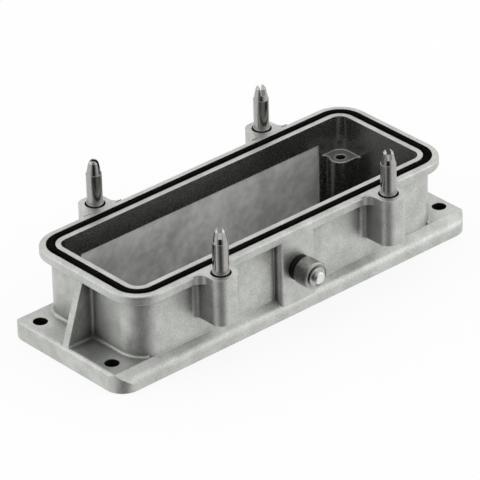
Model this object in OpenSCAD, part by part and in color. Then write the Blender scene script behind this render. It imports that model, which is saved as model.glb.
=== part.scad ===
// Low bulkhead housing for a heavy duty rectangular connector, size 24:
// cast body with an open well, a sealed rim, four guide posts and two
// latch rollers. Millimetres. X runs along the long side, Z is up,
// the origin is the middle of the mounting face.

/* [Housing body] */

// Length of the open well along X
well_length = 112.5;        // [110:0.5:113]
// Width of the open well along Y
well_width = 36;            // [35:0.5:37]
// Corner radius of the well
well_corner_r = 3.6;        // [2.5:0.1:4]
// Height of the rim face above the mounting face
body_height = 28;           // [26:0.5:34]
// Wall thickness on the two short ends
end_wall = 3.25;            // [2.75:0.25:3.75]
// Wall thickness on the two long sides
side_wall = 3.9;            // [3:0.1:4.2]
// Outer corner radius of the wall
wall_corner_r = 8.3;        // [7:0.1:9]
// Radius of the fillet at the foot of the end walls
foot_fillet_r = 0.9;        // [0.4:0.1:1.4]

/* [Rim and seal] */

// Width of the lip inside the seal groove
inner_lip = 1.65;           // [1.4:0.05:2]
// Width of the seal groove
groove_width = 2.75;        // [2.4:0.05:3.2]
// Depth of the seal groove
groove_depth = 1.7;         // [1.2:0.1:1.8]
// Width of the lip outside the seal groove
outer_lip = 2.05;           // [1.8:0.05:2.6]
// Height of the rim collar
lip_height = 2.9;           // [2.4:0.05:4]
// Rounding on the upper outer edge of the rim collar
lip_edge_r = 0.8;           // [0.3:0.1:1]
// Rounding on the lower outer edge of the rim collar
lip_under_r = 0.3;          // [0.1:0.05:0.3]
// Gap between the seal and each groove side
seal_clear = 0.05;          // [0.02:0.01:0.2]
// Height of the seal crown above the rim face
seal_rise = 0.3;            // [0.1:0.1:0.8]

/* [Base flange] */

// Overall length of the flange
flange_length = 139.2;      // [138:0.2:144]
// Overall width of the flange
flange_width = 50.2;        // [49.6:0.2:54]
// Thickness of the flange
flange_height = 6;          // [5:0.25:7]
// Plan radius of the flange corners
flange_corner_r = 6;        // [4:0.5:7]
// Width of the bevel along each long side
bevel_width = 3.45;         // [2.5:0.05:3.8]
// Height taken off by the bevel at the outer edge
bevel_drop = 2.6;           // [1.8:0.1:3]
// Rounding between bevel and long side
nose_r = 3.6;               // [1.5:0.1:4]
// Rounding on the top edge of the short ends
end_edge_r = 1.2;           // [0.4:0.1:2]
// Mounting hole spacing along X
mount_pitch_x = 130;        // [129.5:0.25:130.5]
// Mounting hole spacing along Y
mount_pitch_y = 32;         // [30:0.5:34]
// Mounting hole diameter
mount_hole_d = 4.5;         // [4.2:0.1:5]

/* [Base gasket] */

// Distance from the well edge to the gasket
gasket_inset = 1.6;         // [1.2:0.1:2]
// Width of the gasket
gasket_width = 3;           // [2:0.1:3.2]
// Thickness of the gasket
gasket_depth = 1.6;         // [1:0.1:2]
// Gap between the gasket and each groove side
gasket_clear = 0.1;         // [0.05:0.05:0.2]

/* [Insert screw pillars] */

// Screw spacing along X
insert_pitch_x = 104;       // [103:0.5:104.5]
// Screw spacing along Y
insert_pitch_y = 27;        // [25.5:0.5:28]
// Radius of each pillar
pillar_r = 3.5;             // [3:0.1:3.8]
// Distance from the screw axis to the side of the neck behind the pillar
pillar_neck = 2.4;          // [2:0.1:2.8]
// Fillet between pillar and wall
pillar_fillet_r = 1.5;      // [0.5:0.1:1.5]
// Height of the pillar tops above the mounting face
pillar_top = 16.4;          // [14:0.1:20]
// Diameter of the tapped hole
tap_d = 3.3;                // [3.2:0.1:4]

/* [Side pockets in the well] */

// Length of the shallow pocket in each long wall
pocket_length = 94;         // [80:1:95]
// Depth of the pocket
pocket_depth = 0.5;         // [0.2:0.1:0.8]
// Height of the pocket's upper edge
pocket_top = 20.4;          // [18:0.1:24]

/* [End ribs] */

// Thickness of the rib on each short end
rib_thickness = 2.5;        // [1.6:0.1:3]
// Reach of the rib foot beyond the end wall
rib_reach = 9.5;            // [6:0.1:9.6]
// Fillet along both sides of the rib
rib_fillet_r = 0.8;         // [0.3:0.1:1.2]

/* [Guide posts] */

// Post spacing along X
post_pitch_x = 66;          // [60:1:72]
// Post spacing along Y
post_pitch_y = 55.7;        // [54.5:0.1:58]
// Half width of the boss, and its reach in front of the post
boss_r = 4.6;               // [4.2:0.1:5.2]
// Rounding on the two outer upright edges of the boss
boss_corner_r = 3.6;        // [2.6:0.1:4.1]
// Height of the underside of the bosses
boss_underside = 12.8;      // [10:0.1:14]
// Fillet between boss and wall
boss_fillet_r = 1.8;        // [1:0.1:2]
// Fillet between boss and rim collar
boss_lip_fillet_r = 2.6;    // [1.5:0.1:2.7]
// Diameter of the ring-shaped recess around the post
recess_d = 6.2;             // [5.8:0.1:6.6]
// Depth of the recess
recess_depth = 2.1;         // [1.5:0.1:3]
// Post diameter
post_d = 4.8;               // [4.6:0.1:4.9]
// Diameter of the post's foot
post_foot_d = 5.2;          // [5:0.1:5.4]
// Height of the foot above the rim face
post_foot_rise = 0.5;       // [0.2:0.1:1.5]
// Height of the post above the rim face
post_rise = 14.4;           // [12:0.1:18]
// Length of the tapered tip
tip_length = 4.2;           // [3:0.1:6]
// Diameter of the tip at its shoulder
tip_base_d = 4.5;           // [4:0.1:4.6]
// Diameter of the tip where its end rounding starts
tip_d = 3.1;                // [2.6:0.1:3.8]
// Height of the rounding on the end of the tip
tip_round = 0.7;            // [0.3:0.1:1]
// Width of the screwdriver slot
slot_width = 1.3;           // [0.8:0.1:1.4]
// Depth of the screwdriver slot
slot_depth = 2.5;           // [1.5:0.1:4.5]
// Diameter of the post's shank inside the boss
shank_d = 4;                // [3.4:0.1:4.2]
// Length of the shank
shank_length = 11;          // [8:0.5:11]
// Gap around the shank
shank_clear = 0.05;         // [0.02:0.01:0.1]
// Angle of the slot, front left post
slot_angle_front_left = 49; // [0:1:179]
// Angle of the slot, front right post
slot_angle_front_right = 60;// [0:1:179]
// Angle of the slot, back left post
slot_angle_back_left = 124; // [0:1:179]
// Angle of the slot, back right post
slot_angle_back_right = 68; // [0:1:179]

/* [Latch rollers] */

// Width of the pad that carries each roller
pad_width = 14.6;           // [12:0.1:18]
// Rounding on the upright edges of the pad
pad_edge_r = 1.6;           // [0.5:0.1:2.2]
// Fillet between pad and wall
pad_fillet_r = 0.3;         // [0.2:0.1:1]
// Height of the roller axis above the mounting face
roller_axis_z = 14.95;      // [12:0.05:18]
// Diameter of the stud
stud_d = 3.7;               // [3.4:0.1:4]
// Depth of the stud in the wall
stud_depth = 4.4;           // [3:0.1:4.4]
// Length of the stud beyond the retaining ring
stud_end = 1.4;             // [0.8:0.1:3]
// Chamfer on the end of the stud
stud_chamfer = 0.3;         // [0.1:0.05:0.5]
// Diameter of the spacer behind the roller
spacer_d = 8;               // [7:0.1:8.2]
// Thickness of the spacer
spacer_thickness = 2.2;     // [1:0.1:2.6]
// Diameter of the roller
roller_d = 8.6;             // [8.2:0.1:9]
// Length of the roller
roller_length = 5.4;        // [4:0.1:6]
// Chamfer on the roller edges
roller_chamfer = 0.3;       // [0.1:0.05:0.4]
// Diameter of the hollow in the roller's outer end
roller_hollow_d = 7.3;      // [6.6:0.1:7.3]
// Depth of the hollow
roller_hollow_depth = 0.4;  // [0.2:0.1:0.8]
// Radial gap between roller and stud
roller_clear = 0.05;        // [0.02:0.01:0.1]
// Gap along the axis on each side of the roller
roller_play = 0.1;          // [0.05:0.05:0.2]
// Outer diameter of the retaining ring
ring_d = 5.9;               // [5.4:0.1:6.4]
// Thickness of the retaining ring
ring_thickness = 0.7;       // [0.5:0.1:1]
// Depth of the ring groove in the stud
ring_groove_depth = 0.4;    // [0.2:0.1:0.6]
// Width of the opening in the retaining ring
ring_gap = 2;               // [1.5:0.1:2.4]
// Gap between the retaining ring and its groove
ring_clear = 0.03;          // [0.01:0.01:0.05]

/* [Hidden] */

$fn = 72;
eps = 0.01;
// how far a cutting tool runs past the face it cuts
over = 1;

// half sizes of the well, the wall and the rim
well_x = well_length / 2;
well_y = well_width / 2;
wall_x = well_x + end_wall;
wall_y = well_y + side_wall;
rim_out = inner_lip + groove_width + outer_lip;
rim_x = well_x + rim_out;
rim_y = well_y + rim_out;
rim_r = well_corner_r + rim_out;
collar_z = body_height - lip_height;
collar_width = rim_out - inner_lip - 0.2;

// flange section: bevel slope and the rounding that ends it
flange_x = flange_length / 2;
flange_y = flange_width / 2;
bevel_angle = atan2(bevel_drop, bevel_width);
bevel_tangent = nose_r * tan((90 - bevel_angle) / 2);
nose_z = flange_height - bevel_drop - bevel_tangent;

// end ribs: where the slope starts under the rim, where it meets the flange, its run per millimetre
rib_head_x = rim_x - 0.05;
rib_foot_x = min(wall_x + rib_reach, flange_x - 0.5);
rib_slope = (rib_foot_x - rib_head_x) / (collar_z + lip_under_r - flange_height);

// pillars and posts
pillar_x = insert_pitch_x / 2;
pillar_y = insert_pitch_y / 2;
post_x = post_pitch_x / 2;
post_y = post_pitch_y / 2;
recess_z = body_height - recess_depth;

// roller stack, measured outwards from the pad face
roller_from = spacer_thickness + roller_play;
roller_to = roller_from + roller_length;
hollow_from = roller_to - roller_hollow_depth;
ring_from = hollow_from + roller_play;
ring_to = ring_from + ring_thickness;
stud_length = ring_to + stud_end;
ring_bore_d = stud_d - 2 * ring_groove_depth + 2 * ring_clear;

// block with rounded vertical edges, standing on z = 0
module rounded_block(hx, hy, r, height) {
    translate([-hx, -(hy - r), 0]) cube([2 * hx, 2 * (hy - r), height]);
    translate([-(hx - r), -hy, 0]) cube([2 * (hx - r), 2 * hy, height]);
    for (sx = [-1, 1], sy = [-1, 1])
        translate([sx * (hx - r), sy * (hy - r), 0]) cylinder(h = height, r = r);
}

// runs the outline below around a rounded rectangle: outline x is outwards, outline y is up
module around(hx, hy, r) {
    for (a = [0, 180]) {
        rotate([0, 0, a]) translate([hx, hy - r, 0]) rotate([90, 0, 0])
            linear_extrude(height = 2 * (hy - r)) children();
        rotate([0, 0, a + 90]) translate([hy, hx - r, 0]) rotate([90, 0, 0])
            linear_extrude(height = 2 * (hx - r)) children();
    }
    for (q = [0, 1, 2, 3]) {
        sx = (q == 0 || q == 3) ? 1 : -1;
        sy = (q < 2) ? 1 : -1;
        translate([sx * (hx - r), sy * (hy - r), 0]) rotate([0, 0, 90 * q])
            rotate_extrude(angle = 90) translate([r, 0]) children();
    }
}

// concave corner filler: square of side r less a quarter circle, corner at the origin
module corner_fill(r) {
    difference() {
        translate([-eps, -eps]) square([r + eps, r + eps]);
        translate([r, r]) circle(r = r);
    }
}

// one of the four quadrants, or one of the two long sides
module in_quarters() {
    for (sx = [0, 1], sy = [0, 1])
        mirror([sx, 0, 0]) mirror([0, sy, 0]) children();
}
module front_and_back() {
    children();
    mirror([0, 1, 0]) children();
}

// ---------------------------------------------------------------- housing

module flange_section() {
    polygon([[-flange_y, -1], [flange_y, -1], [flange_y, nose_z],
             [flange_y - nose_r, nose_z],
             [flange_y - bevel_tangent * cos(bevel_angle),
              flange_height - bevel_drop + bevel_tangent * sin(bevel_angle)],
             [flange_y - bevel_width, flange_height],
             [-(flange_y - bevel_width), flange_height],
             [-(flange_y - bevel_tangent * cos(bevel_angle)),
              flange_height - bevel_drop + bevel_tangent * sin(bevel_angle)],
             [-(flange_y - nose_r), nose_z], [-flange_y, nose_z]]);
    for (s = [-1, 1])
        translate([s * (flange_y - nose_r), nose_z]) circle(r = nose_r);
}

module flange_end_section() {
    translate([-flange_x, -1]) square([flange_length, flange_height - end_edge_r + 1]);
    translate([-(flange_x - end_edge_r), -1])
        square([flange_length - 2 * end_edge_r, flange_height + 1]);
    for (s = [-1, 1])
        translate([s * (flange_x - end_edge_r), flange_height - end_edge_r])
            circle(r = end_edge_r);
}

module flange() {
    intersection() {
        rounded_block(flange_x, flange_y, flange_corner_r, flange_height);
        translate([-flange_x - 1, 0, 0]) rotate([90, 0, 90])
            linear_extrude(height = flange_length + 2) flange_section();
        translate([0, flange_y + 1, 0]) rotate([90, 0, 0])
            linear_extrude(height = flange_width + 2) flange_end_section();
    }
}

module rim_collar() {
    around(rim_x, rim_y, rim_r) {
        translate([-collar_width, collar_z]) square([collar_width - lip_edge_r, lip_height]);
        translate([-lip_edge_r - eps, collar_z])
            square([lip_edge_r + eps - lip_under_r, lip_height - lip_edge_r]);
        translate([-lip_under_r - eps, collar_z + lip_under_r])
            square([lip_under_r + eps, lip_height - lip_edge_r - lip_under_r]);
        translate([-lip_edge_r, body_height - lip_edge_r]) circle(r = lip_edge_r);
        translate([-lip_under_r, collar_z + lip_under_r]) circle(r = lip_under_r);
    }
}

module foot_fillets() {
    for (a = [0, 180]) rotate([0, 0, a]) {
        translate([wall_x, wall_y - wall_corner_r, flange_height]) rotate([90, 0, 0])
            linear_extrude(height = 2 * (wall_y - wall_corner_r)) corner_fill(foot_fillet_r);
        for (s = [0, 1]) mirror([0, s, 0])
            translate([wall_x - wall_corner_r, wall_y - wall_corner_r, flange_height])
                rotate_extrude(angle = 62) translate([wall_corner_r, 0]) corner_fill(foot_fillet_r);
    }
}

module post_boss() {
    // flat-sided boss with rounded outer edges, joined to the wall
    translate([post_x, post_y, boss_underside]) linear_extrude(height = body_height - boss_underside) {
        translate([-boss_r, wall_y - post_y - 1])
            square([2 * boss_r, post_y - wall_y + 1 + boss_r - boss_corner_r]);
        translate([boss_corner_r - boss_r, 0]) square([2 * (boss_r - boss_corner_r), boss_r]);
        for (s = [-1, 1])
            translate([s * (boss_r - boss_corner_r), boss_r - boss_corner_r]) circle(r = boss_corner_r);
    }
    for (s = [0, 1]) translate([post_x, 0, 0]) mirror([s, 0, 0]) {
        translate([boss_r, wall_y, boss_underside])
            linear_extrude(height = collar_z + 0.5 - boss_underside) corner_fill(boss_fillet_r);
        translate([boss_r, rim_y, collar_z])
            linear_extrude(height = lip_height) corner_fill(boss_lip_fillet_r);
    }
}

module roller_pad() {
    translate([0, 0, flange_height / 2])
        linear_extrude(height = collar_z + 0.5 - flange_height / 2) {
            translate([-pad_width / 2, pad_edge_r - rim_y])
                square([pad_width, rim_y - well_y - 1 - pad_edge_r]);
            translate([pad_edge_r - pad_width / 2, -rim_y])
                square([pad_width - 2 * pad_edge_r, rim_y - well_y - 1]);
            for (s = [-1, 1])
                translate([s * (pad_width / 2 - pad_edge_r), pad_edge_r - rim_y])
                    circle(r = pad_edge_r);
        }
    for (s = [0, 1]) mirror([s, 0, 0])
        translate([pad_width / 2, -wall_y, flange_height / 2]) mirror([0, 1, 0])
            linear_extrude(height = collar_z + 0.5 - flange_height / 2)
                corner_fill(pad_fillet_r);
}

// side view of the rib, drawn as thick as asked: it slopes from the face of the rim to its foot
module rib_plate(thickness) {
    translate([0, thickness / 2, 0]) rotate([90, 0, 0])
        linear_extrude(height = thickness)
            polygon([[wall_x - 1, flange_height - 1], [rib_foot_x + rib_slope, flange_height - 1],
                     [rib_head_x, collar_z + lip_under_r], [rib_head_x, collar_z + 1],
                     [wall_x - 1, collar_z + 1]]);
}

module end_rib() {
    rib_plate(rib_thickness);
    // fillets into the end wall and the flange, ended by the rib's own slope
    intersection() {
        rib_plate(rib_thickness + 2 * rib_fillet_r);
        for (s = [0, 1]) mirror([0, s, 0]) translate([wall_x, rib_thickness / 2, flange_height]) {
            linear_extrude(height = collar_z - flange_height + 0.5) corner_fill(rib_fillet_r);
            translate([-1, 0, 0]) rotate([90, 0, 90])
                linear_extrude(height = rib_foot_x - wall_x + 1) corner_fill(rib_fillet_r);
        }
    }
}

module pillar() {
    difference() {
        union() {
            translate([pillar_x, pillar_y, 0]) cylinder(h = pillar_top, r = pillar_r);
            // necks into the long wall and the end wall
            translate([pillar_x - pillar_neck, pillar_y, 0])
                cube([well_x + 1 - pillar_x + pillar_neck, well_y + 1 - pillar_y, pillar_top]);
            translate([pillar_x, pillar_y - pillar_r, 0])
                cube([well_x + 1 - pillar_x, pillar_r + 1, pillar_top]);
            translate([pillar_x - pillar_neck, well_y, 0]) rotate([0, 0, 180])
                linear_extrude(height = pillar_top) corner_fill(pillar_fillet_r);
            translate([well_x, pillar_y - pillar_r, 0]) rotate([0, 0, 180])
                linear_extrude(height = pillar_top) corner_fill(pillar_fillet_r);
        }
        translate([pillar_x, pillar_y, -over]) cylinder(h = pillar_top + 2 * over, r = tap_d / 2);
    }
}

module housing() {
    color([0.76, 0.77, 0.74]) {
        difference() {
            union() {
                flange();
                rounded_block(wall_x, wall_y, wall_corner_r, body_height);
                rim_collar();
                foot_fillets();
                in_quarters() post_boss();
                front_and_back() roller_pad();
                for (s = [0, 1]) mirror([s, 0, 0]) end_rib();
            }
            // open well
            translate([0, 0, -over])
                rounded_block(well_x, well_y, well_corner_r, body_height + 2 * over);
            // seal groove in the rim
            translate([0, 0, body_height - groove_depth]) difference() {
                rounded_block(well_x + inner_lip + groove_width, well_y + inner_lip + groove_width,
                              well_corner_r + inner_lip + groove_width, groove_depth + over);
                translate([0, 0, -over])
                    rounded_block(well_x + inner_lip, well_y + inner_lip,
                                  well_corner_r + inner_lip, groove_depth + 3 * over);
            }
            // gasket groove in the mounting face
            translate([0, 0, -over]) difference() {
                rounded_block(well_x + gasket_inset + gasket_width + gasket_clear,
                              well_y + gasket_inset + gasket_width + gasket_clear,
                              well_corner_r + gasket_inset + gasket_width + gasket_clear,
                              gasket_depth + over);
                translate([0, 0, -over])
                    rounded_block(well_x + gasket_inset - gasket_clear,
                                  well_y + gasket_inset - gasket_clear,
                                  well_corner_r + gasket_inset - gasket_clear,
                                  gasket_depth + 3 * over);
            }
            // shallow pockets in the long walls
            for (s = [0, 1]) mirror([0, s, 0])
                translate([-pocket_length / 2, well_y - over, -over])
                    cube([pocket_length, pocket_depth + over, pocket_top + over]);
            in_quarters() {
                translate([mount_pitch_x / 2, mount_pitch_y / 2, -over])
                    cylinder(h = flange_height + 2 * over, r = mount_hole_d / 2);
                translate([post_x, post_y, recess_z])
                    cylinder(h = recess_depth + over, r = recess_d / 2);
                translate([post_x, post_y, boss_underside - over])
                    cylinder(h = recess_z - boss_underside + 2 * over, r = shank_d / 2 + shank_clear);
            }
            // blind bores for the roller studs
            front_and_back() translate([0, -rim_y - over, roller_axis_z]) rotate([-90, 0, 0])
                cylinder(h = stud_depth + over, r = stud_d / 2);
        }
        in_quarters() intersection() {
            pillar();
            // the pillars run 1 mm into the wall, short of the gasket groove
            rounded_block(well_x + 1, well_y + 1, well_corner_r + 1, body_height);
        }
    }
}

// ---------------------------------------------------------------- seals

module rim_seal() {
    hx = well_x + inner_lip + groove_width / 2;
    hy = well_y + inner_lip + groove_width / 2;
    w = groove_width - 2 * seal_clear;
    color([0.06, 0.06, 0.06])
        translate([0, 0, body_height - groove_depth])
            around(hx, hy, well_corner_r + inner_lip + groove_width / 2) {
                translate([-w / 2, 0]) square([w, groove_depth - 0.4]);
                translate([-w / 2 + 0.4, 0]) square([w - 0.8, groove_depth]);
                for (s = [-1, 1]) translate([s * (w / 2 - 0.4), groove_depth - 0.4]) circle(r = 0.4);
                translate([-w / 4, 0]) square([w / 2, groove_depth + seal_rise]);
            }
}

module base_gasket() {
    color([0.07, 0.07, 0.07]) difference() {
        rounded_block(well_x + gasket_inset + gasket_width, well_y + gasket_inset + gasket_width,
                      well_corner_r + gasket_inset + gasket_width, gasket_depth);
        translate([0, 0, -1])
            rounded_block(well_x + gasket_inset, well_y + gasket_inset,
                          well_corner_r + gasket_inset, gasket_depth + 2);
    }
}

// ---------------------------------------------------------------- guide posts

module guide_post(angle) {
    color([0.62, 0.62, 0.6]) difference() {
        union() {
            translate([0, 0, recess_z - shank_length]) cylinder(h = shank_length + 0.5, r = shank_d / 2);
            translate([0, 0, recess_z])
                cylinder(h = recess_depth + post_foot_rise, r = post_foot_d / 2);
            translate([0, 0, recess_z])
                cylinder(h = recess_depth + post_rise - tip_length, r = post_d / 2);
            translate([0, 0, body_height + post_rise - tip_length])
                cylinder(h = tip_length - tip_round, r1 = tip_base_d / 2, r2 = tip_d / 2);
            translate([0, 0, body_height + post_rise - tip_round])
                cylinder(h = tip_round, r1 = tip_d / 2, r2 = tip_d / 2 - 0.7 * tip_round);
        }
        rotate([0, 0, angle])
            translate([-post_d, -slot_width / 2, body_height + post_rise - slot_depth])
                cube([2 * post_d, slot_width, slot_depth + over]);
    }
}

module guide_post_front_left() {
    translate([-post_x, -post_y, 0]) guide_post(slot_angle_front_left);
}

module guide_post_front_right() {
    translate([post_x, -post_y, 0]) guide_post(slot_angle_front_right);
}

module guide_post_back_left() {
    translate([-post_x, post_y, 0]) guide_post(slot_angle_back_left);
}

module guide_post_back_right() {
    translate([post_x, post_y, 0]) guide_post(slot_angle_back_right);
}

// ---------------------------------------------------------------- latch rollers
// each piece is drawn with the pad face at z = 0 and the axis pointing outwards

module on_front_pad() {
    translate([0, -rim_y, roller_axis_z]) rotate([90, 0, 0]) children();
}
module on_back_pad() {
    translate([0, rim_y, roller_axis_z]) rotate([-90, 0, 0]) children();
}

module roller_stud() {
    color([0.66, 0.66, 0.64]) difference() {
        union() {
            translate([0, 0, -stud_depth])
                cylinder(h = stud_depth + stud_length - stud_chamfer, r = stud_d / 2);
            translate([0, 0, stud_length - stud_chamfer])
                cylinder(h = stud_chamfer, r1 = stud_d / 2, r2 = stud_d / 2 - stud_chamfer);
        }
        translate([0, 0, ring_from - ring_clear]) difference() {
            cylinder(h = ring_thickness + 2 * ring_clear, r = stud_d);
            translate([0, 0, -1]) cylinder(h = ring_thickness + 3, r = stud_d / 2 - ring_groove_depth);
        }
    }
}

module roller_spacer() {
    color([0.08, 0.08, 0.08]) difference() {
        cylinder(h = spacer_thickness, r = spacer_d / 2);
        translate([0, 0, -1]) cylinder(h = spacer_thickness + 2, r = stud_d / 2 + roller_clear);
    }
}

module roller_sleeve() {
    color([0.5, 0.5, 0.48]) difference() {
        union() {
            translate([0, 0, roller_from])
                cylinder(h = roller_chamfer, r1 = roller_d / 2 - roller_chamfer, r2 = roller_d / 2);
            translate([0, 0, roller_from + roller_chamfer])
                cylinder(h = roller_length - 2 * roller_chamfer, r = roller_d / 2);
            translate([0, 0, roller_to - roller_chamfer])
                cylinder(h = roller_chamfer, r1 = roller_d / 2, r2 = roller_d / 2 - roller_chamfer);
        }
        translate([0, 0, roller_from - 1])
            cylinder(h = roller_length + 2, r = stud_d / 2 + roller_clear);
        translate([0, 0, hollow_from])
            cylinder(h = roller_hollow_depth + over, r = roller_hollow_d / 2);
    }
}

module retaining_ring() {
    color([0.72, 0.72, 0.7]) translate([0, 0, ring_from]) difference() {
        cylinder(h = ring_thickness, r = ring_d / 2);
        translate([0, 0, -1]) cylinder(h = ring_thickness + 2, r = ring_bore_d / 2);
        // opening of the ring, turned downwards
        translate([-ring_gap / 2, -ring_d, -1]) cube([ring_gap, ring_d, ring_thickness + 2]);
    }
}

module roller_stud_front() { on_front_pad() roller_stud(); }
module roller_spacer_front() { on_front_pad() roller_spacer(); }
module roller_front() { on_front_pad() roller_sleeve(); }
module retaining_ring_front() { on_front_pad() retaining_ring(); }

module roller_stud_back() { on_back_pad() roller_stud(); }
module roller_spacer_back() { on_back_pad() roller_spacer(); }
module roller_back() { on_back_pad() roller_sleeve(); }
module retaining_ring_back() { on_back_pad() rotate([0, 0, 180]) retaining_ring(); }

housing();
rim_seal();
base_gasket();
guide_post_front_left();
guide_post_front_right();
guide_post_back_left();
guide_post_back_right();
roller_stud_front();
roller_spacer_front();
roller_front();
retaining_ring_front();
roller_stud_back();
roller_spacer_back();
roller_back();
retaining_ring_back();
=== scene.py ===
import math
import bpy
from mathutils import Matrix, Vector


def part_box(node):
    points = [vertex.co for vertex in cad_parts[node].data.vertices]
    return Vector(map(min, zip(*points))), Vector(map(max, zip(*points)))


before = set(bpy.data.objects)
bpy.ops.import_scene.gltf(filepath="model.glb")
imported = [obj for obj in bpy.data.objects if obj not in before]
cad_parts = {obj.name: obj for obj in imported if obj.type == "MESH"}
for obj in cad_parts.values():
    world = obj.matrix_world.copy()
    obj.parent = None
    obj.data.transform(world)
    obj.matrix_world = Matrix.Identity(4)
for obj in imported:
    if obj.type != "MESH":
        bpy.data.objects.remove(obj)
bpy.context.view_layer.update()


# ---------------------------------------------------------------- housing
# The real piece is one pressure die casting in an aluminium alloy: flange, walls,
# sealed rim, post bosses, end ribs and insert pillars in one. It is tumbled and left
# bare, so it has a fine sand-like grain and its edges are rubbed a little brighter; the
# lighter corners here are partly that wear and partly painted highlight. Its nooks, well
# and holes carry painted shade, and its blasted pockets painted light towards the rim.

CAST_DARK = (0.36, 0.37, 0.35, 1)
CAST_LIGHT = (0.70, 0.71, 0.68, 1)
# lighter corners: partly rubbed wear, partly painted highlight
CAST_WEAR_AND_HIGHLIGHT = (0.68, 0.68, 0.66, 1)
# painted shade for the nooks, laid on where occlusion finds them
NOOK_PAINTED_SHADE = (0.09, 0.093, 0.09, 1)
# the well's colour, painted darker as the shade inside it
WELL_PAINTED_DARK = (0.30, 0.305, 0.29, 1)
SEAT_MILLED = (0.22, 0.222, 0.21, 1)
POCKET_DARK = (0.34, 0.345, 0.335, 1)
POCKET_LIGHT = (0.68, 0.685, 0.66, 1)
# painted shade for the holes and the recesses round the posts
HOLE_PAINTED_SHADE = (0.08, 0.08, 0.075, 1)

# metres: the grain of the skin, how far the painted shade in the nooks reaches, corners as they
# catch light
SAND_GRAIN = 0.00035
SKIN_PATCH = 0.006
BLAST_CLOUD = 0.018
BLAST_SPECK = 0.0022
PAINTED_SHADE_REACH = 0.005
EDGE_RADIUS = 0.0003
WEAR_AND_HIGHLIGHT_RADIUS = 0.00048
PILLAR_EDGE = 0.0010

# where each finish ends: half lengths from the middle, heights above the mounting face
RIM_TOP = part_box("housing")[1].z
RIM_SHOULDER = RIM_TOP - 0.0012
RIM_FACE = RIM_TOP - 0.0006
WELL_HALF_LENGTH = 0.0564
WELL_HALF_WIDTH = 0.0187
WELL_TOP = RIM_TOP - 0.0001
POCKET_HALF_LENGTH = 0.0470
POCKET_FACE = 0.0179
POCKET_TOP = 0.0204
# heights over which painted light makes the pockets lighter towards the rim
POCKET_PAINTED_LIGHT_RISE = (0.010, 0.019)
PILLAR_TOP = 0.0168
POST_RECESS_RADIUS = 0.0031
POST_RECESS_MIDDLE = RIM_TOP - 0.0015
POST_RECESS_HALF = 0.0013
FLANGE_HOLE = (0.065, 0.016)
FLANGE_HOLE_RADIUS = 0.0023
FLANGE_HOLE_TOP = (0.0056, 0.0058)
SHARP = 0.00005

# most of what the noise gives, and its middle alone
SWING = (0.3, 0.7)
MIDDLE = (0.35, 0.65)


def finish_of(name):
    """A new metal or rubber finish: its node tree and its shader."""
    material = bpy.data.materials.new(name)
    material.use_nodes = True
    tree = material.node_tree
    return material, tree, tree.nodes["Principled BSDF"]


def put(tree, kind, **settings):
    """Adds one node. A setting that names an input sets that input."""
    added = tree.nodes.new("ShaderNode" + kind)
    for key, value in settings.items():
        if key in added.inputs:
            added.inputs[key].default_value = value
        else:
            setattr(added, key, value)
    return added


def dress(node_name, material):
    """The CAD piece keeps its shape and takes this finish."""
    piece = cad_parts[node_name]
    piece.data.materials.clear()
    piece.data.materials.append(material)


def axes_of(tree, direction):
    """The x, y and z of a place or a direction."""
    split = put(tree, "SeparateXYZ")
    tree.links.new(direction, split.inputs[0])
    return split.outputs


def grain(tree, place, size, detail=3.0):
    """Even noise whose spots are about `size` metres across."""
    spots = put(tree, "TexNoise", Scale=1.0 / size, Detail=detail, Roughness=0.6)
    tree.links.new(place, spots.inputs["Vector"])
    return spots.outputs["Fac"]


def spread(tree, value, low, high, to_low, to_high):
    """Stretches the range low..high of a value over to_low..to_high."""
    ranged = put(tree, "MapRange")
    tree.links.new(value, ranged.inputs["Value"])
    for key, number in (("From Min", low), ("From Max", high),
                        ("To Min", to_low), ("To Max", to_high)):
        ranged.inputs[key].default_value = number
    return ranged.outputs["Result"]


def join(tree, operation, first, *others):
    """One value out of several, or out of one alone. Each is a socket or a plain number."""
    total = first
    for other in others or (0.0,):
        step = put(tree, "Math", operation=operation)
        for socket, value in zip(step.inputs, (total, other)):
            if isinstance(value, (int, float)):
                socket.default_value = value
            else:
                tree.links.new(value, socket)
        total = step.outputs[0]
    return total


def blend_colour(tree, factor, first, second):
    """The first colour where the factor is 0, the second where it is 1."""
    mixed = put(tree, "Mix", data_type="RGBA")
    tree.links.new(factor, mixed.inputs[0])
    for socket, value in ((mixed.inputs[6], first), (mixed.inputs[7], second)):
        if isinstance(value, tuple):
            socket.default_value = value
        else:
            tree.links.new(value, socket)
    return mixed.outputs[2]


def within(tree, value, limit):
    """1 where the value lies nearer to zero than the limit."""
    return spread(tree, join(tree, "ABSOLUTE", value), limit - SHARP, limit + SHARP, 1.0, 0.0)


def rounded_off(tree, radius, samples=6):
    """The way a face looks, with its corners turned as if they had this radius."""
    return put(tree, "Bevel", samples=samples, Radius=radius).outputs[0]


# paints corners lighter: partly rubbed wear, partly painted highlight
def worn_and_highlit(tree, rounded, starts, full, share):
    """0 on faces, up to `share` on corners: where the rounded direction leaves the true one."""
    agreement = put(tree, "VectorMath", operation="DOT_PRODUCT")
    tree.links.new(rounded, agreement.inputs[0])
    tree.links.new(put(tree, "NewGeometry").outputs["True Normal"], agreement.inputs[1])
    return spread(tree, agreement.outputs["Value"], starts, full, 0.0, share)


cast_alloy, tree, shader = finish_of("cast_alloy")
place = put(tree, "TexCoord").outputs["Object"]
lengthways, sideways, height = axes_of(tree, place)
upward = axes_of(tree, put(tree, "NewGeometry").outputs["True Normal"])["Z"]
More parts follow.
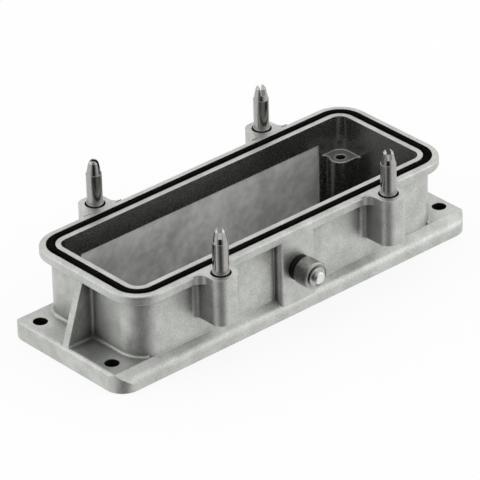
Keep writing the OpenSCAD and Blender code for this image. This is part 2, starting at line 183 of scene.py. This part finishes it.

# bare skin, mottled, with painted shade in the nooks where occlusion is found: little on the rim's
# face, less on flats
sand = grain(tree, place, SAND_GRAIN, detail=2.0)
patches = grain(tree, place, SKIN_PATCH, detail=4.0)
mottle = join(tree, "ADD", spread(tree, sand, *SWING, 0.0, 0.65),
              spread(tree, patches, *MIDDLE, 0.0, 0.35))
nook = put(tree, "AmbientOcclusion", samples=6, only_local=True, Distance=PAINTED_SHADE_REACH)
painted_nook_shade = join(tree, "MULTIPLY", spread(tree, nook.outputs["AO"], 0.42, 0.87, 0.88, 0.0),
               spread(tree, height, RIM_SHOULDER, RIM_FACE, 1.0, 0.20),
               spread(tree, upward, 0.5, 0.9, 1.0, 0.75))
skin = blend_colour(tree, painted_nook_shade, blend_colour(tree, mottle, CAST_DARK, CAST_LIGHT), NOOK_PAINTED_SHADE)
corners = rounded_off(tree, WEAR_AND_HIGHLIGHT_RADIUS)
outside = blend_colour(tree, worn_and_highlit(tree, corners, 0.99, 0.80, 0.22), skin, CAST_WEAR_AND_HIGHLIGHT)

# the core leaves the well's walls smooth, and their colour is painted darker as the shade inside
# the well;
# the pillars in it have rounded corners, painted bright as highlights, and a milled seat on top
in_well = join(tree, "MULTIPLY", within(tree, lengthways, WELL_HALF_LENGTH),
               within(tree, sideways, WELL_HALF_WIDTH), within(tree, height, WELL_TOP))
between_pillars = within(tree, lengthways, POCKET_HALF_LENGTH)
at_pillar = join(tree, "MULTIPLY", in_well, join(tree, "SUBTRACT", 1.0, between_pillars),
                 within(tree, height, PILLAR_TOP))
pillar_corners = rounded_off(tree, PILLAR_EDGE, samples=8)
pillar_highlight = join(tree, "MULTIPLY", worn_and_highlit(tree, pillar_corners, 0.985, 0.82, 0.9), at_pillar)
well_edge_highlight = join(tree, "MAXIMUM", worn_and_highlit(tree, corners, 0.99, 0.80, 0.9), pillar_highlight)
on_seat = join(tree, "MULTIPLY", in_well, spread(tree, upward, 0.90, 0.95, 0.0, 1.0))
shaded_well_and_seats = blend_colour(tree, on_seat, WELL_PAINTED_DARK, SEAT_MILLED)
walls = blend_colour(tree, in_well, outside, blend_colour(tree, well_edge_highlight, shaded_well_and_seats, CAST_WEAR_AND_HIGHLIGHT))

# two long pockets in the well are sand-blasted and cloudy; painted light makes them lighter
# towards the rim, where light falls in
on_long_wall = join(tree, "SUBTRACT", 1.0, within(tree, sideways, POCKET_FACE))
in_pocket = join(tree, "MULTIPLY", between_pillars, in_well, on_long_wall,
                 within(tree, height, POCKET_TOP))
blast_and_painted_light = join(tree, "ADD", spread(tree, grain(tree, place, BLAST_CLOUD), *MIDDLE, -0.16, 0.50),
             spread(tree, grain(tree, place, BLAST_SPECK, detail=4.0), *MIDDLE, -0.14, 0.14),
             spread(tree, height, *POCKET_PAINTED_LIGHT_RISE, 0.05, 0.48))
before_hole_shade = blend_colour(tree, in_pocket, walls,
                     blend_colour(tree, blast_and_painted_light, POCKET_DARK, POCKET_LIGHT))


def in_bores(tree, x, y, radius):
    """1 inside the four upright bores at (+-x, +-y)."""
    off_x = join(tree, "SUBTRACT", join(tree, "ABSOLUTE", lengthways), x)
    off_y = join(tree, "SUBTRACT", join(tree, "ABSOLUTE", sideways), y)
    away = join(tree, "ADD", join(tree, "POWER", off_x, 2.0), join(tree, "POWER", off_y, 2.0))
    return spread(tree, away, (radius - SHARP) ** 2, (radius + SHARP) ** 2, 1.0, 0.0)


# painted shade in the flange holes and in the ring recess round each post
post_low, post_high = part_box("guide_post_back_right")
post = (post_low + post_high) / 2
recess_depth = within(tree, join(tree, "SUBTRACT", height, POST_RECESS_MIDDLE), POST_RECESS_HALF)
in_shaded_hole = join(tree, "MAXIMUM",
               join(tree, "MULTIPLY", in_bores(tree, post.x, post.y, POST_RECESS_RADIUS),
                    recess_depth),
               join(tree, "MULTIPLY", in_bores(tree, *FLANGE_HOLE, FLANGE_HOLE_RADIUS),
                    spread(tree, height, *FLANGE_HOLE_TOP, 1.0, 0.0)))
tree.links.new(blend_colour(tree, in_shaded_hole, before_hole_shade, HOLE_PAINTED_SHADE), shader.inputs["Base Color"])

# blasted and milled faces, and the well's corners that carry the painted highlight, scatter more
# light than the skin does
scattering = join(tree, "MAXIMUM", join(tree, "MULTIPLY", in_well, well_edge_highlight), on_seat)
matt = join(tree, "MAXIMUM", join(tree, "MULTIPLY", in_pocket, 0.75),
            join(tree, "MULTIPLY", scattering, 0.65))
tree.links.new(join(tree, "SUBTRACT", 0.95, matt), shader.inputs["Metallic"])
rough = join(tree, "ADD", spread(tree, sand, *SWING, 0.38, 0.50),
             join(tree, "MULTIPLY", in_well, -0.20), join(tree, "MULTIPLY", in_pocket, 0.50))
tree.links.new(rough, shader.inputs["Roughness"])

relief = join(tree, "ADD", join(tree, "MULTIPLY", sand, 0.7), join(tree, "MULTIPLY", patches, 1.6))
bump = put(tree, "Bump", Strength=0.40, Distance=0.00012)
tree.links.new(relief, bump.inputs["Height"])
tree.links.new(rounded_off(tree, EDGE_RADIUS), bump.inputs["Normal"])
tree.links.new(bump.outputs[0], shader.inputs["Normal"])

dress("housing", cast_alloy)


# ---------------------------------------------------------------- rim seal and base gasket
# Both are black rubber rings, pressed into their grooves: the seal meets the hood's
# rim, the gasket lies under the flange and meets the panel. Moulded rubber is matt,
# with a faint bloom on its crown.

SEAL_BLACK = (0.002, 0.002, 0.002, 1)
SEAL_BLOOM = (0.006, 0.006, 0.005, 1)
GASKET_BLACK = (0.014, 0.014, 0.014, 1)
GASKET_BLOOM = (0.030, 0.030, 0.029, 1)
BLOOM_SPOT = 0.0025
RUBBER_GRAIN = 0.0003


def black_rubber(name, base, crown):
    """Matt rubber with spots of bloom."""
    rubber, tree, shader = finish_of(name)
    place = put(tree, "TexCoord").outputs["Object"]
    bloom = grain(tree, place, BLOOM_SPOT, detail=5.0)
    tree.links.new(blend_colour(tree, spread(tree, bloom, 0.4, 0.7, 0.0, 1.0), base, crown),
                   shader.inputs["Base Color"])
    tree.links.new(spread(tree, bloom, *SWING, 0.80, 0.95), shader.inputs["Roughness"])
    shader.inputs["Specular IOR Level"].default_value = 0.02
    bump = put(tree, "Bump", Strength=0.25, Distance=0.00004)
    tree.links.new(grain(tree, place, RUBBER_GRAIN), bump.inputs["Height"])
    tree.links.new(bump.outputs[0], shader.inputs["Normal"])
    return rubber


dress("rim_seal", black_rubber("seal_rubber", SEAL_BLACK, SEAL_BLOOM))
dress("base_gasket", black_rubber("gasket_rubber", GASKET_BLACK, GASKET_BLOOM))


# ---------------------------------------------------------------- guide posts
# Turned steel pins that stand in the four bosses. Each has a tapered tip with a
# screwdriver slot. The lathe leaves fine rings round the shaft.

POST_STEEL = (0.36, 0.352, 0.34, 1)
POST_WORN = (0.43, 0.422, 0.41, 1)
STEEL_WEAR_AND_HIGHLIGHT = (0.85, 0.85, 0.83, 1)
LATHE_PITCH = 0.00022
HANDLING_SPOT = 0.0008
STEEL_GRAIN = 0.0004


def turned_steel(name, base, worn, axis, rough, pitch=LATHE_PITCH, strength=0.12,
                 corner_radius=0.00015, corner_share=0.7):
    """Steel with fine rings at right angles to the axis, and corners painted brighter, partly as
    wear and partly as painted highlight.
    """
    steel, tree, shader = finish_of(name)
    place = put(tree, "TexCoord").outputs["Object"]
    handling = grain(tree, place, HANDLING_SPOT, detail=4.0)
    skin = blend_colour(tree, spread(tree, handling, 0.35, 0.7, 0.0, 1.0), base, worn)
    corners = rounded_off(tree, corner_radius, samples=4)
    tree.links.new(blend_colour(tree, worn_and_highlit(tree, corners, 0.99, 0.88, corner_share), skin,
                                STEEL_WEAR_AND_HIGHLIGHT), shader.inputs["Base Color"])
    shader.inputs["Metallic"].default_value = 1.0
    tree.links.new(spread(tree, handling, *SWING, *rough), shader.inputs["Roughness"])
    turns = join(tree, "MULTIPLY", axes_of(tree, place)[axis], 2 * math.pi / pitch)
    bump = put(tree, "Bump", Strength=strength, Distance=0.00002)
    tree.links.new(join(tree, "ADD", join(tree, "SINE", turns), grain(tree, place, STEEL_GRAIN)),
                   bump.inputs["Height"])
    tree.links.new(corners, bump.inputs["Normal"])
    tree.links.new(bump.outputs[0], shader.inputs["Normal"])
    return steel


post_steel = turned_steel("post_steel", POST_STEEL, POST_WORN, "Z", (0.17, 0.22), strength=0.06,
                          corner_share=0.1)
for corner in ("front_left", "front_right", "back_left", "back_right"):
    dress("guide_post_" + corner, post_steel)


# ---------------------------------------------------------------- latch rollers
# On each long side a stud is pressed into the pad and carries a black spacer and a
# ground steel roller, held by an open ring in a groove. The lever's hook runs on
# the roller.

STUD_STEEL, STUD_WORN = (0.70, 0.70, 0.68, 1), (0.84, 0.84, 0.82, 1)
ROLLER_STEEL, ROLLER_WORN = (0.27, 0.275, 0.26, 1), (0.40, 0.405, 0.385, 1)
RING_STEEL, RING_WORN = (0.40, 0.40, 0.39, 1), (0.52, 0.52, 0.51, 1)
SPACER_BLACK, SPACER_HAZE = (0.003, 0.003, 0.003, 1), (0.008, 0.008, 0.008, 1)
GRINDING_PITCH = 0.00012
ROLLER_CORNER = 0.0004
HAZE_SPOT = 0.0009

stud_steel = turned_steel("stud_steel", STUD_STEEL, STUD_WORN, "Y", (0.30, 0.42))
# the roller's wider corner broadens the painted highlight on its end chamfer
roller_steel = turned_steel("roller_steel", ROLLER_STEEL, ROLLER_WORN, "Y", (0.26, 0.40),
                            pitch=GRINDING_PITCH, corner_radius=ROLLER_CORNER)
ring_steel = turned_steel("ring_steel", RING_STEEL, RING_WORN, "Y", (0.28, 0.38))

spacer_plastic, tree, shader = finish_of("spacer_plastic")
haze = grain(tree, put(tree, "TexCoord").outputs["Object"], HAZE_SPOT, detail=4.0)
tree.links.new(blend_colour(tree, haze, SPACER_BLACK, SPACER_HAZE), shader.inputs["Base Color"])
tree.links.new(spread(tree, haze, *SWING, 0.42, 0.58), shader.inputs["Roughness"])
shader.inputs["Specular IOR Level"].default_value = 0.15

for side in ("front", "back"):
    dress("roller_stud_" + side, stud_steel)
    dress("roller_spacer_" + side, spacer_plastic)
    dress("roller_" + side, roller_steel)
    dress("retaining_ring_" + side, ring_steel)


# ---------------------------------------------------------------- floor and light
# A white table in a white surround, with one soft box at the right, one behind on the
# left and one above. Two dark cards, seen only by reflections, give the metal its darks;
# the one under the part is painted shade for the open well.

WHITE = (1, 1, 1, 1)
TABLE_PALE = (0.90, 0.90, 0.90, 1)
TABLE_HALF = 6.0
TABLE_WHITE_SHARE = 0.86
SURROUND = 0.95
SHEET_CORNERS = ((-1, -1), (1, -1), (1, 1), (-1, 1))


def flat_sheet(name, corners):
    """A sheet that belongs to the stage, with an empty finish."""
    mesh = bpy.data.meshes.new(name)
    mesh.from_pydata(corners, [], [tuple(range(len(corners)))])
    sheet = bpy.data.objects.new(name, mesh)
    bpy.context.scene.collection.objects.link(sheet)
    material = bpy.data.materials.new(name)
    material.use_nodes = True
    material.node_tree.nodes.clear()
    mesh.materials.append(material)
    return sheet, material.node_tree


def seen_as_white(tree, plain, white, share, output):
    """Camera, mirror and glass rays see this share of plain white, all others see the plain."""
    rays = put(tree, "LightPath").outputs
    looking = join(tree, "MAXIMUM", rays["Is Camera Ray"], rays["Is Glossy Ray"],
                   rays["Is Transmission Ray"])
    mixed = put(tree, "MixShader")
    tree.links.new(join(tree, "MULTIPLY", looking, share), mixed.inputs[0])
    tree.links.new(plain.outputs[0], mixed.inputs[1])
    tree.links.new(white.outputs[0], mixed.inputs[2])
    tree.links.new(mixed.outputs[0], output.inputs[0])


floor, tree = flat_sheet("floor",
                         [(sx * TABLE_HALF, sy * TABLE_HALF, 0) for sx, sy in SHEET_CORNERS])
seen_as_white(tree, put(tree, "BsdfDiffuse", Color=TABLE_PALE),
              put(tree, "Emission", Color=WHITE, Strength=1.0), TABLE_WHITE_SHARE,
              put(tree, "OutputMaterial"))
floor.visible_glossy = False

world = bpy.data.worlds.new("surround")
bpy.context.scene.world = world
world.use_nodes = True
tree = world.node_tree
tree.nodes.clear()
seen_as_white(tree, put(tree, "Background", Color=WHITE, Strength=SURROUND),
              put(tree, "Background", Color=WHITE, Strength=1.0), 1.0, put(tree, "OutputWorld"))


def soft_box(name, spot, size, power):
    """A rectangular lamp that looks at the middle of the housing."""
    lamp = bpy.data.lights.new(name, "AREA")
    lamp.shape, lamp.size, lamp.size_y, lamp.energy = "RECTANGLE", size[0], size[1], power
    holder = bpy.data.objects.new(name, lamp)
    holder.location = spot
    aim = Vector((0, 0, 0.015)) - Vector(spot)
    holder.rotation_euler = aim.to_track_quat("-Z", "Y").to_euler()
    bpy.context.scene.collection.objects.link(holder)


soft_box("soft_box_right", (0.80, -0.62, 0.42), (0.6, 0.5), 1.25)
soft_box("soft_box_left", (-0.70, 0.55, 0.45), (0.5, 0.4), 0.6)
soft_box("soft_box_top", (0.10, 0.25, 1.0), (0.7, 0.7), 0.6)


def dark_card(name, corners, core, rim):
    """A card that only mirror rays see: black out to `core` metres from its middle, white past
    `rim`. Heights count for six tenths, so the dark part is taller than wide."""
    card, tree = flat_sheet(name, corners)
    squash = Vector((1, 1, 0.6))
    middle = sum((Vector(corner) for corner in corners), Vector()) / len(corners)
    place = put(tree, "VectorMath", operation="MULTIPLY")
    tree.links.new(put(tree, "NewGeometry").outputs["Position"], place.inputs[0])
    place.inputs[1].default_value = squash
    apart = put(tree, "VectorMath", operation="DISTANCE")
    tree.links.new(place.outputs[0], apart.inputs[0])
    apart.inputs[1].default_value = middle * squash
    glow = put(tree, "Emission", Color=WHITE)
    tree.links.new(spread(tree, apart.outputs["Value"], core, rim, 0.0, 1.0),
                   glow.inputs["Strength"])
    tree.links.new(glow.outputs[0], put(tree, "OutputMaterial").inputs[0])
    card.visible_camera = False
    card.visible_shadow = False
    card.visible_diffuse = False


# one card stands at the lens, square to its line of sight; one, all black, lies just under the
# part as painted shade that reflections see in the open well
CARD_MIDDLE = Vector((-0.657, -0.754, 0)) * 0.60
CARD_ACROSS = Vector((0.754, -0.657, 0)) * 0.90
CARD_UP = Vector((0, 0, 1.30))
UNDER_HALF_LENGTH, UNDER_HALF_WIDTH, UNDER_HEIGHT = 0.068, 0.0235, -0.0005
dark_card("card_at_lens",
          [CARD_MIDDLE + CARD_ACROSS * sx + CARD_UP * sz for sx, sz in SHEET_CORNERS], 0.12, 0.80)
dark_card("painted_shade_under_part", [(sx * UNDER_HALF_LENGTH, sy * UNDER_HALF_WIDTH, UNDER_HEIGHT)
                              for sx, sy in SHEET_CORNERS], 1.0, 2.0)


# ---------------------------------------------------------------- camera
# A long lens that stands 1.4 m off at the front left and looks down at 30 degrees.

lens = bpy.data.cameras.new("camera")
lens.lens = 351.2
lens.sensor_width = 36.0
camera = bpy.data.objects.new("camera", lens)
stands_at = Vector((-0.788552, -0.902310, 0.707083))
to_right = Vector((0.744633, -0.667095, -0.022507))
to_top = Vector((0.348730, 0.360069, 0.865296))
to_back = Vector((-0.569130, -0.652177, 0.500756))
turned = Matrix((to_right, to_top, to_back)).transposed().to_4x4()
camera.matrix_world = Matrix.Translation(stands_at) @ turned
bpy.context.scene.collection.objects.link(camera)
bpy.context.scene.camera = camera
bpy.context.scene.view_settings.view_transform = "Standard"
